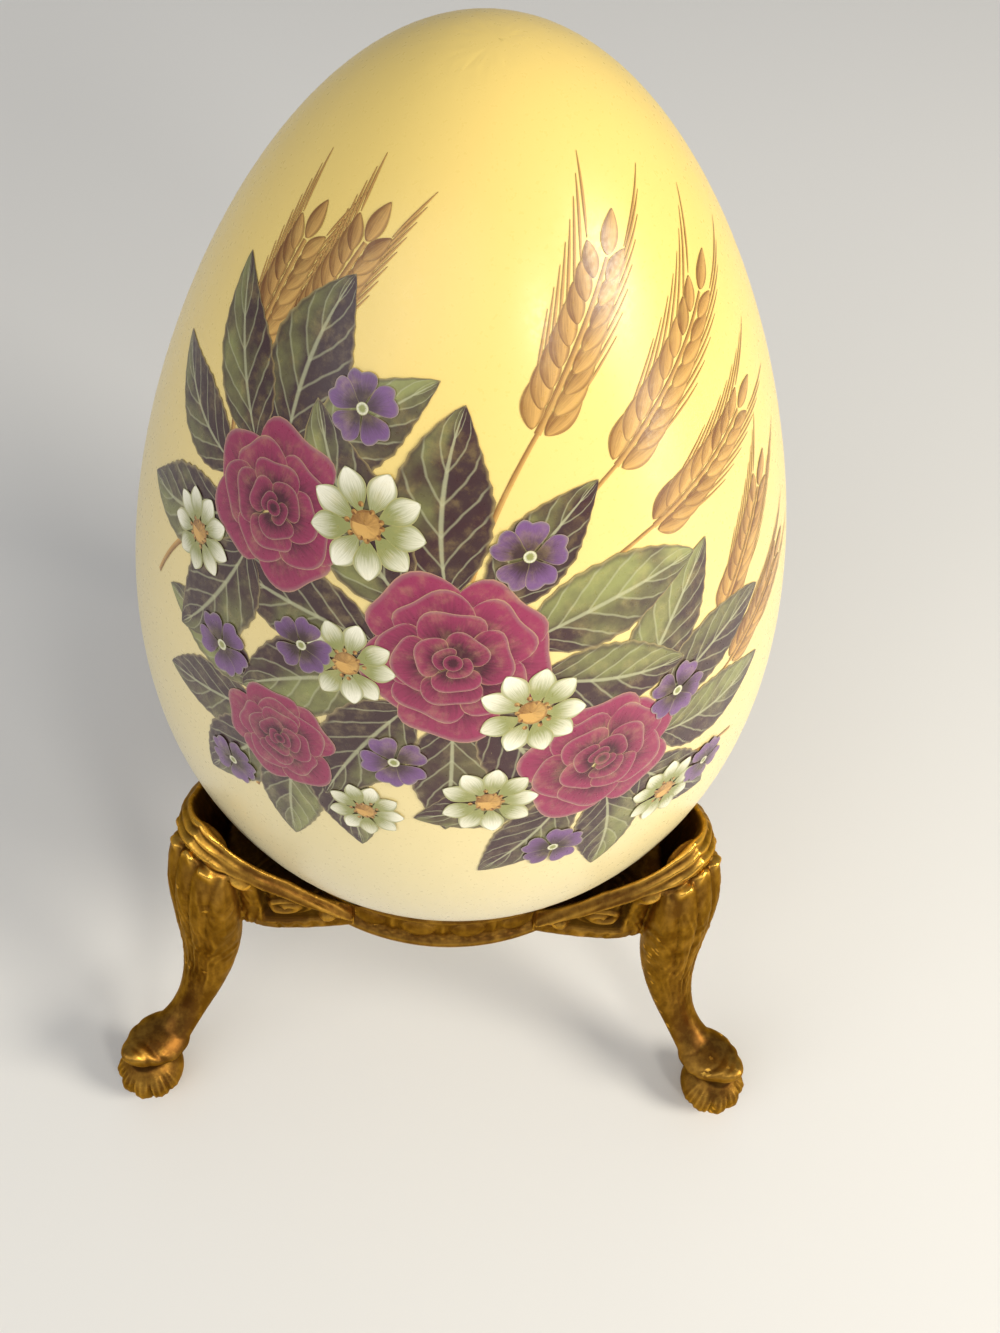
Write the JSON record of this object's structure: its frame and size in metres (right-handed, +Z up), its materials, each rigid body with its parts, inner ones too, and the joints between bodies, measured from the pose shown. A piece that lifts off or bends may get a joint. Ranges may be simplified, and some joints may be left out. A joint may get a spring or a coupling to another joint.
{
  "type": "decorative egg on stand",
  "caption": "Hollow porcelain egg with a fired floral print, set down in a low gilt cast stand with a seat ring, cabriole legs and paw feet.",
  "frame": {"origin": "on the table, under the middle of the egg", "axes": "+Z up through the egg's tip, +X to the right and -Y to the front, both along sides of the stand's square rim"},
  "size_m": [0.0754, 0.0754, 0.1149],
  "materials": {
    "porcelain": "satin porcelain, cream",
    "gilt_metal": "antique gilt, satin with burnished ridges"
  },
  "bodies": {
    "stand": {"seat_ring": "gilt_metal", "leg_front_left": "gilt_metal", "leg_front_right": "gilt_metal", "leg_back_left": "gilt_metal", "leg_back_right": "gilt_metal"},
    "egg": {"egg_shell": "porcelain"}
  },
  "joints": [
    {"name": "egg_lift", "type": "slide", "parent": "stand", "child": "egg", "axis": [0, 0, 1], "range_m": [0, 0.035]}
  ]
}
